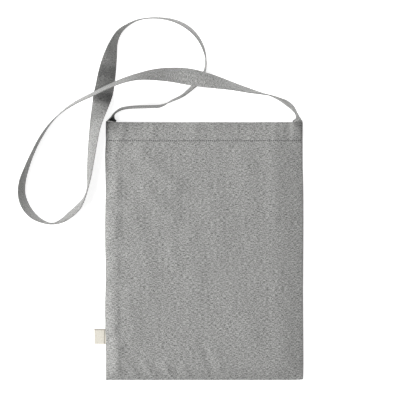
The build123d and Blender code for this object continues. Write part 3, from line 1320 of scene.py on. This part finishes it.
    def edge_stitches(self, stitches: Stitches, wardrobe: Wardrobe) -> bpy.types.Object:
        """Rows of stitches along both edges, on both faces.

        Args:
            stitches: The size of the stitches.
            wardrobe: The finishes.

        Returns:
            The stitches in one piece.
        """
        rows, along = self.stations()
        free = self.tab + 2.0 * MM
        even = graded(free, along[-1] - free, stitches.pitch)
        rows = np.stack([np.interp(even, along, rows[:, k]) for k in range(rows.shape[1])], -1)
        place = self.across()
        points, normal = self.section(rows, place)
        forward = np.gradient(points, axis=0)
        forward /= np.linalg.norm(forward, axis=-1)[..., None]
        inset = self.width / 2 - self.stitch_inset
        kept = []
        for line in (inset, -inset):
            column = int(np.argmin(np.abs(place - line)))
            half = self.half_thickness(place)[column]
            for face in (1.0, -1.0):
                out = face * normal[:, column]
                kept.append((points[:, column] + out * half, forward[:, column], out))
        places, headings, normals = (np.concatenate(part) for part in zip(*kept))
        return stitches.build("strap_stitches", places, headings, normals, wardrobe)

    def close(self, strap: bpy.types.Object) -> None:
        """Merge the ribbon's seam, close its two ends and smooth it.

        Args:
            strap: The ribbon.
        """
        make_active(strap)
        bpy.ops.object.mode_set(mode="EDIT")
        bpy.ops.mesh.select_all(action="SELECT")
        bpy.ops.mesh.remove_doubles(threshold=0.001 * MM)
        bpy.ops.mesh.select_all(action="DESELECT")
        bpy.ops.mesh.select_non_manifold(extend=False)
        bpy.ops.mesh.edge_face_add()
        bpy.ops.mesh.select_all(action="SELECT")
        bpy.ops.mesh.normals_make_consistent(inside=False)
        bpy.ops.object.mode_set(mode="OBJECT")
        bpy.ops.object.shade_smooth_by_angle(angle=math.radians(70))


# ------------------------------------------------------------------------------ label
@dataclass
class SideLabel:
    """The bare woven label, folded in half and sewn into the left seam.

    Attributes:
        tape: Thickness of the tape.
        gap: Half the distance between its two leaves.
        sewn_in: How far it reaches into the side seam.
        stitch_pitch: Distance from stitch to stitch beside the seam.
        low: Lowest corner of the label's box.
        high: Highest corner of the label's box.
    """

    tape: float = 0.35 * MM
    gap: float = 0.35 * MM
    sewn_in: float = 1.2 * MM
    stitch_pitch: float = 2.4 * MM
    low: Vector = field(init=False)
    high: Vector = field(init=False)

    def __post_init__(self) -> None:
        """Take the label's place from the frame."""
        self.low, self.high = (Vector(corner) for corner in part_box("side_label"))

    def leaf(self) -> float:
        """Length of one leaf of the folded tape, up to its fold."""
        return self.high.x - self.low.x + self.sewn_in - self.gap

    def place(self, along: np.ndarray, y: np.ndarray) -> np.ndarray:
        """Where each place of the flat tape lies.

        Args:
            along: Distances from the tape's upper sewn end, over the fold and back.
            y: Places along the bag.

        Returns:
            The points, with a last axis of 3.
        """
        leaf, reach = self.leaf(), self.leaf() + self.gap
        turned = np.clip((along - leaf) / self.gap, 0.0, math.pi)
        back = np.maximum(0.0, along - leaf - math.pi * self.gap)
        out = np.minimum(along, leaf) + self.gap * np.sin(turned) - back
        share = (y - self.low.y) / (self.high.y - self.low.y)
        droop = 0.35 * MM * (out / reach) ** 2 + 0.25 * MM * np.sin(share * 3.4) * (out / reach)
        z = 0.5 * (self.low.z + self.high.z) + self.gap * np.cos(turned) - droop
        slant = 0.2 * MM * (out / reach)
        return np.stack([self.high.x + self.sewn_in - out, y + slant, z], axis=-1)

    def build(self, wardrobe: Wardrobe) -> bpy.types.Object:
        """Make the folded label.

        Args:
            wardrobe: The finishes.

        Returns:
            The label.
        """
        leaf = graded(0.0, self.leaf(), 0.9 * MM)
        bend = graded(0.0, math.pi * self.gap, 0.2 * MM)
        run = joined(leaf, leaf[-1] + bend, leaf[-1] + bend[-1] + leaf)
        rows = graded(self.low.y, self.high.y, 0.9 * MM)
        along, y = np.meshgrid(run, rows)
        label = sheet_mesh("woven_label", self.place(along, y), np.stack([y, along], axis=-1))
        thicken(label, self.tape, 0.0)
        wardrobe.dress(label, Finish.LABEL)
        return label

    def stitching(self, stitches: Stitches, wardrobe: Wardrobe) -> bpy.types.Object:
        """Make the row of stitches beside the seam, on both faces of the label.

        Args:
            stitches: The stitch.
            wardrobe: The finishes.

        Returns:
            The stitches in one piece.
        """
        from_end = self.sewn_in + 1.0 * MM
        count = int((self.high.y - self.low.y) // self.stitch_pitch)
        middle = 0.5 * (self.low.y + self.high.y)
        y = middle + (np.arange(count) - 0.5 * (count - 1)) * self.stitch_pitch
        last = 2 * self.leaf() + math.pi * self.gap
        kept = []
        for along, side in ((from_end, 1.0), (last - from_end, -1.0)):
            normal = np.tile((0.0, 0.0, side), (count, 1))
            points = self.place(np.full(count, along), y)
            kept.append((points + 0.5 * self.tape * normal, normal))
        places, normals = (np.concatenate(part) for part in zip(*kept))
        headings = np.tile((0.0, 1.0, 0.0), (len(places), 1))
        return stitches.build("label_stitches", places, headings, normals, wardrobe)


@dataclass
class HemStitching:
    """The row of stitches across a hem, seen on both of its faces.

    Attributes:
        sizes: The bag's sizes.
        panel: The panel whose hem is sewn.
        outward: 1 where the panel's outer face looks up, -1 where it looks down.
        stitches: The stitch.
    """

    sizes: BagSizes
    panel: FrontPanel
    outward: float
    stitches: Stitches = field(default_factory=Stitches)

    def row(self, name: str, first: float, last: float, wardrobe: Wardrobe) -> bpy.types.Object:
        """Stitches on both faces of the hem between two places across the bag.

        Args:
            name: Name of the piece.
            first: First place across the bag.
            last: Last place across the bag.
            wardrobe: The finishes.

        Returns:
            The stitches in one piece.
        """
        size = self.sizes
        count = int(round((last - first) / self.stitches.pitch))
        across = first + (np.arange(count) + 0.5) * self.stitches.pitch
        facing = 2 * size.height() + math.pi * self.panel.fold_radius - size.needle_row()
        kept = []
        for along, side in ((size.needle_row(), self.outward), (facing, -self.outward)):
            level = np.full((1, count), along)
            step = 0.5 * self.stitches.length
            points = self.panel.place(across[None], level)[0]
            ahead = self.panel.place((across + step)[None], level)[0]
            behind = self.panel.place((across - step)[None], level)[0]
            heading = ahead - behind
            heading /= np.linalg.norm(heading, axis=1)[:, None]
            normal = np.cross(heading, np.array([0.0, side, 0.0]))
            kept.append((points + 0.02 * MM * normal, heading, normal))
        places, headings, normals = (np.concatenate(part) for part in zip(*kept))
        return self.stitches.build(name, places, headings, normals, wardrobe)


@dataclass
class SeamAllowance:
    """The two raw edges of a side seam, sewn together inside and oversewn.

    Attributes:
        sizes: The bag's sizes.
        side: -1 for the left seam, 1 for the right one.
        name: Name of the seam.
        depth: Width of the allowance.
        end_gap: Distance from its ends to the mouth and to the bottom.
        loops: The stitch of its oversewing.
    """

    sizes: BagSizes
    side: float
    name: str
    depth: float = 10.0 * MM
    end_gap: float = 1.5 * MM
    loops: Stitches = field(
        default_factory=lambda: Stitches(length=2.6 * MM, thickness=0.35 * MM, pitch=2.2 * MM)
    )

    def point(self, inward: np.ndarray, y: np.ndarray) -> np.ndarray:
        """Where a place of the allowance lies.

        Args:
            inward: Distance from the seam.
            y: Places along the bag.

        Returns:
            The points.
        """
        edge = self.sizes.left if self.side < 0 else self.sizes.right
        x = edge - self.side * (0.9 * MM + inward)
        share = inward / self.depth
        wave = np.sin(y * 260.0 + self.side) + 0.6 * np.sin(y * 433.0)
        z = self.sizes.seam_height + 0.9 * MM * share + 0.22 * MM * share * wave
        return np.stack(np.broadcast_arrays(x, y, z), axis=-1)

    def build(self, wardrobe: Wardrobe) -> tuple[bpy.types.Object, bpy.types.Object]:
        """Make the allowance and its oversewing.

        Args:
            wardrobe: The finishes.

        Returns:
            The doubled cloth and the thread.
        """
        size = self.sizes
        inward, y = np.meshgrid(
            graded(0.0, self.depth, 1.6 * MM)[:: int(-self.side)],
            graded(size.bottom + self.end_gap, size.mouth - self.end_gap, 3.5 * MM),
        )
        cloth = sheet_mesh(f"{self.name}_allowance", self.point(inward, y),
                           np.stack([inward, y], axis=-1))
        thicken(cloth, 0.9 * MM, 0.0)
        wardrobe.dress(cloth, Finish.CLOTH)
        first = self.end_gap + 1.0 * MM
        places = graded(size.bottom + first, size.mouth - first, self.loops.pitch)
        middle = self.point(np.full_like(places, self.depth - 0.8 * MM), places)
        slant = np.array([-self.side * 0.9, 0.4, 0.0])
        heading = np.tile(slant / np.linalg.norm(slant), (len(places), 1))
        normal = np.tile(np.array([0.0, 0.0, 1.0]), (len(places), 1))
        lift = 0.55 * MM * normal
        thread = self.loops.build(
            f"{self.name}_oversewing",
            np.concatenate([middle + lift, middle - lift]),
            np.concatenate([heading, heading * np.array([1.0, -1.0, 1.0])]),
            np.concatenate([normal, -normal]),
            wardrobe,
        )
        return cloth, thread


# ------------------------------------------------------------------------------ studio
@dataclass(frozen=True)
class Lamp:
    """A soft square light.

    Attributes:
        name: Name of the light.
        place: Where it stands.
        size: Its width.
        power: Its power in watts.
    """

    name: str
    place: tuple[float, float, float]
    size: float
    power: float


@dataclass
class Studio:
    """Pale floor, soft lights and a camera that looks straight down.

    Attributes:
        view: Width of the square that the camera sees, on the ground.
        centre: Middle of that square.
        distance: Height of the camera.
        clip: Nearest and farthest distance that the camera sees.
        floor_size: Width of the floor.
        floor_glow: Light that the floor itself gives, which keeps it white.
        lamps: The lights.
        aim: Point that the lights are turned to.
        horizon_band: Directions' heights between which the world goes dim.
        world_strength: The world's strength below and above that band.
    """

    view: float = 565.6 * MM
    centre: tuple[float, float] = (-6.0 * MM, 71.6 * MM)
    distance: float = 9.0
    clip: tuple[float, float] = (1.0, 50.0)
    floor_size: float = 40.0
    floor_glow: float = 0.8
    lamps: tuple[Lamp, ...] = (
        Lamp("key_light", (-1.66, -0.5, 1.72), 1.2, 48.5),
        Lamp("top_light", (-0.8, 2.1, 1.6), 1.0, 41.0),
    )
    aim: tuple[float, float, float] = (0.0, 0.05, 0.0)
    horizon_band: tuple[float, float] = (0.08, 0.3)
    world_strength: tuple[float, float] = (0.95, 0.2)

    def build(self) -> None:
        """Make the floor, the lights and the camera."""
        self.floor()
        self.lights()
        self.camera()

    def floor(self) -> None:
        """A plain pale floor that reaches far past the view."""
        clear_selection()
        bpy.ops.mesh.primitive_plane_add(size=self.floor_size, location=(0, 0, -0.05 * MM))
        floor = bpy.context.object
        floor.name = "studio_floor"
        bpy.ops.object.transform_apply(location=True)
        sheet = NodeSheet("studio floor")
        sheet.shader.inputs["Base Color"].default_value = (0.7, 0.7, 0.7, 1.0)
        sheet.shader.inputs["Roughness"].default_value = 0.9
        sheet.shader.inputs["Specular IOR Level"].default_value = 0.1
        sheet.shader.inputs["Emission Color"].default_value = (1.0, 1.0, 1.0, 1.0)
        sheet.shader.inputs["Emission Strength"].default_value = self.floor_glow
        floor.data.materials.append(sheet.material)

    def area_light(self, lamp: Lamp) -> None:
        """Set up a light and turn it to the bag.

        Args:
            lamp: The light.
        """
        data = bpy.data.lights.new(lamp.name, "AREA")
        data.shape = "SQUARE"
        data.size = lamp.size
        data.energy = lamp.power
        light = bpy.data.objects.new(lamp.name, data)
        light.location = lamp.place
        turn = Vector(self.aim) - Vector(lamp.place)
        light.rotation_euler = turn.to_track_quat("-Z", "Y").to_euler()
        light.visible_camera = False
        bpy.context.scene.collection.objects.link(light)

    def lights(self) -> None:
        """A broad light from the left, a weaker one from past the mouth, and a pale world."""
        for lamp in self.lamps:
            self.area_light(lamp)
        world = bpy.data.worlds.new("pale surround")
        world.use_nodes = True
        background = world.node_tree.nodes["Background"]
        background.inputs["Color"].default_value = (1.0, 1.0, 1.0, 1.0)
        self.pale_horizon(world, background)
        bpy.context.scene.world = world
        bpy.context.scene.view_settings.view_transform = "Standard"

    def pale_horizon(self, world: bpy.types.World, background: bpy.types.Node) -> None:
        """Make the world nearly white at the horizon and dim overhead.

        Args:
            world: The world.
            background: Its background shader.
        """
        nodes, links = world.node_tree.nodes, world.node_tree.links
        split = nodes.new("ShaderNodeSeparateXYZ")
        fade = nodes.new("ShaderNodeMapRange")
        fade.inputs["From Min"].default_value = self.horizon_band[0]
        fade.inputs["From Max"].default_value = self.horizon_band[1]
        fade.inputs["To Min"].default_value = self.world_strength[0]
        fade.inputs["To Max"].default_value = self.world_strength[1]
        links.new(nodes.new("ShaderNodeTexCoord").outputs["Generated"], split.inputs[0])
        links.new(split.outputs["Z"], fade.inputs["Value"])
        links.new(fade.outputs["Result"], background.inputs["Strength"])

    def camera(self) -> None:
        """A long lens, straight above the middle of the view."""
        data = bpy.data.cameras.new("camera")
        data.sensor_width = 36.0
        data.lens = data.sensor_width * self.distance / self.view
        data.clip_start, data.clip_end = self.clip
        camera = bpy.data.objects.new("camera", data)
        camera.location = (*self.centre, self.distance)
        bpy.context.scene.collection.objects.link(camera)
        bpy.context.scene.camera = camera


# -------------------------------------------------------------------------------- main
def report(piece: bpy.types.Object) -> None:
    """Say that a piece is finished.

    Args:
        piece: The piece.
    """
    LOG.info("%s: %d faces", piece.name, len(piece.data.polygons))


def sew_panels(sizes: BagSizes, wardrobe: Wardrobe) -> tuple[FrontPanel, BackPanel]:
    """Make both panels of the bag.

    Args:
        sizes: The bag's sizes.
        wardrobe: The finishes.

    Returns:
        The front panel's shape and the back panel's.
    """
    surface = ClothSurface(sizes)
    front = FrontPanel(sizes, surface)
    halves = front.build(wardrobe)
    for half, edge in zip(halves, (sizes.left, sizes.right)):
        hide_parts("front_panel", "front_hem")
        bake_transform(half)
        front.cut_length()
        report(half)
    back = BackPanel(sizes, surface)
    panel = back.build(wardrobe)[0]
    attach(panel, "bag")
    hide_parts("back_panel", "back_hem", "bottom_fold")
    sizes.width()
    back.cut_length()
    report(panel)
    return front, back


def stitch_hems(sizes: BagSizes, front: FrontPanel, back: BackPanel,
                wardrobe: Wardrobe) -> None:
    """Sew the hems of both panels.

    Args:
        sizes: The bag's sizes.
        front: The front panel.
        back: The back panel.
        wardrobe: The finishes.
    """
    first, last = sizes.left + 2 * MM, sizes.right - 2 * MM
    front_hem = HemStitching(sizes, front, 1.0)
    sewn = (("front_stitches_left", first, 0.0, sizes.left),
            ("front_stitches_right", 0.0, last, sizes.right))
    for name, start, end, edge in sewn:
        row = front_hem.row(name, start, end, wardrobe)
        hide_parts("front_hem_stitching")
        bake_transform(row)
        report(row)
    row = HemStitching(sizes, back, -1.0).row("back_stitches", first, last, wardrobe)
    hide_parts("back_hem_stitching")
    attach(row, "bag")
    report(row)


def sew_sides(sizes: BagSizes, wardrobe: Wardrobe) -> None:
    """Make the allowances inside the side seams.

    Args:
        sizes: The bag's sizes.
        wardrobe: The finishes.
    """
    for side, name in ((-1.0, "left"), (1.0, "right")):
        allowance = SeamAllowance(sizes, side, name)
        cloth, thread = allowance.build(wardrobe)
        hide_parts(f"{name}_seam")
        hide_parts(f"{name}_overlock")
        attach(cloth, "bag")
        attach(thread, "bag")
        sizes.height() - 2 * allowance.end_gap
        report(cloth)
        report(thread)


def attach_strap(sizes: BagSizes, wardrobe: Wardrobe) -> None:
    """Make the strap with its edge stitching, bending just past the mouth.

    Args:
        sizes: The bag's sizes.
        wardrobe: The finishes.
    """
    strap = Strap(sizes)
    ribbon = strap.build(wardrobe)
    edging = strap.edge_stitches(Stitches(thickness=0.36 * MM), wardrobe)
    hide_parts("strap_rise", "strap_crown", "strap_loop", "strap_front",
                "strap_tab_left", "strap_tab_right")
    LOG.info("strap length %.3f m", strap.length)
    for piece in (ribbon, edging):
        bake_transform(piece)
        report(piece)


def attach_label(wardrobe: Wardrobe) -> None:
    """Make the side label with its stitches.

    Args:
        wardrobe: The finishes.
    """
    side_label = SideLabel()
    label = side_label.build(wardrobe)
    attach(label, "label")
    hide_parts("side_label")
    row = side_label.stitching(Stitches(length=1.5 * MM, thickness=0.3 * MM), wardrobe)
    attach(row, "label")
    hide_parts("label_stitching")
    report(label)
    report(row)


def main() -> None:
    """Build the whole bag and its studio."""
    logging.basicConfig(level=logging.INFO, format="%(message)s")
    Studio().build()
    sizes = BagSizes()
    wardrobe = Wardrobe(sizes.needle_row())
    front, back = sew_panels(sizes, wardrobe)
    stitch_hems(sizes, front, back, wardrobe)
    sew_sides(sizes, wardrobe)
    attach_strap(sizes, wardrobe)
    attach_label(wardrobe)


if __name__ == "__main__":
    main()
